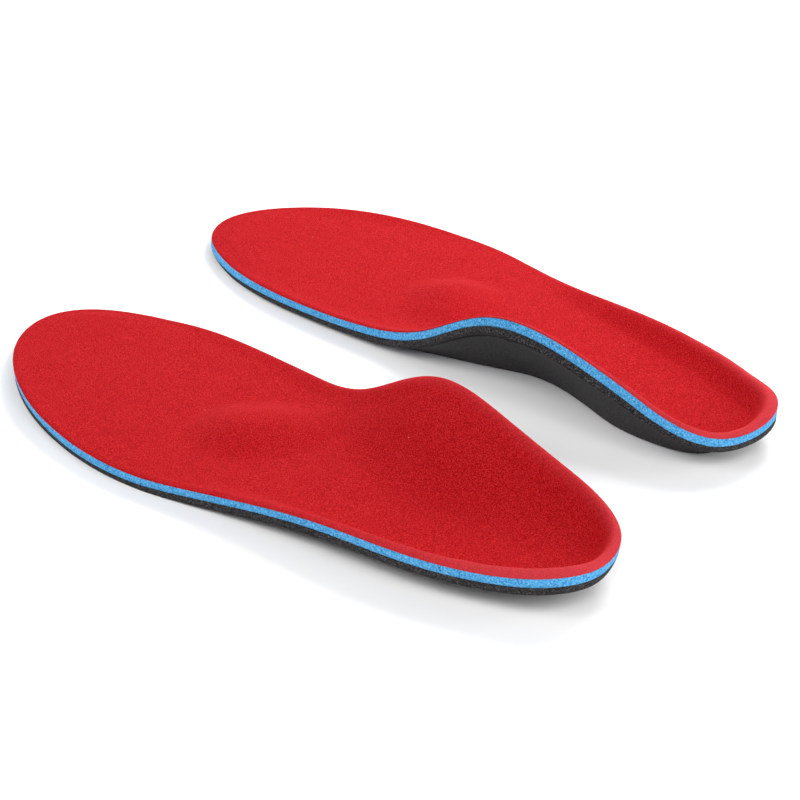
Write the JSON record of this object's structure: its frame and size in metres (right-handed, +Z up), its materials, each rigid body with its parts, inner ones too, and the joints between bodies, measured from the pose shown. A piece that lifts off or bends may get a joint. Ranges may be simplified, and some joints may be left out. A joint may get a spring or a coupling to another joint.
{
  "type": "cushioned insole pair",
  "caption": "Full-length moulded orthotic insoles, left and right, with velvet cover, foam cushion layer, firm base, deep heel cup, tall arch support and metatarsal dome.",
  "frame": {"origin": "on the floor, under the middle of the pair's bounding box", "axes": "+X from the heels to the toes of the left insole, +Y to the wearer's left, +Z up"},
  "size_m": [0.2794, 0.2246, 0.0352],
  "materials": {
    "cover_velvet": "matte",
    "inner_pad_foam": "matte",
    "cushion_foam": "matte",
    "base_foam": "matte",
    "support_foam": "matte",
    "heel_pad_foam": "matte"
  },
  "bodies": {
    "left_insole": {"left_top_cover": "cover_velvet", "left_metatarsal_pad": "inner_pad_foam", "left_cushion_foam": "cushion_foam", "left_base_layer": "base_foam", "left_arch_support": "support_foam", "left_heel_pad": "heel_pad_foam"},
    "right_insole": {"right_top_cover": "cover_velvet", "right_metatarsal_pad": "inner_pad_foam", "right_cushion_foam": "cushion_foam", "right_base_layer": "base_foam", "right_arch_support": "support_foam", "right_heel_pad": "heel_pad_foam"}
  },
  "joints": [
    {"name": "right_insole_lift", "type": "slide", "parent": "left_insole", "child": "right_insole", "axis": [0, 0, 1], "range_m": [0, 0.12]}
  ]
}
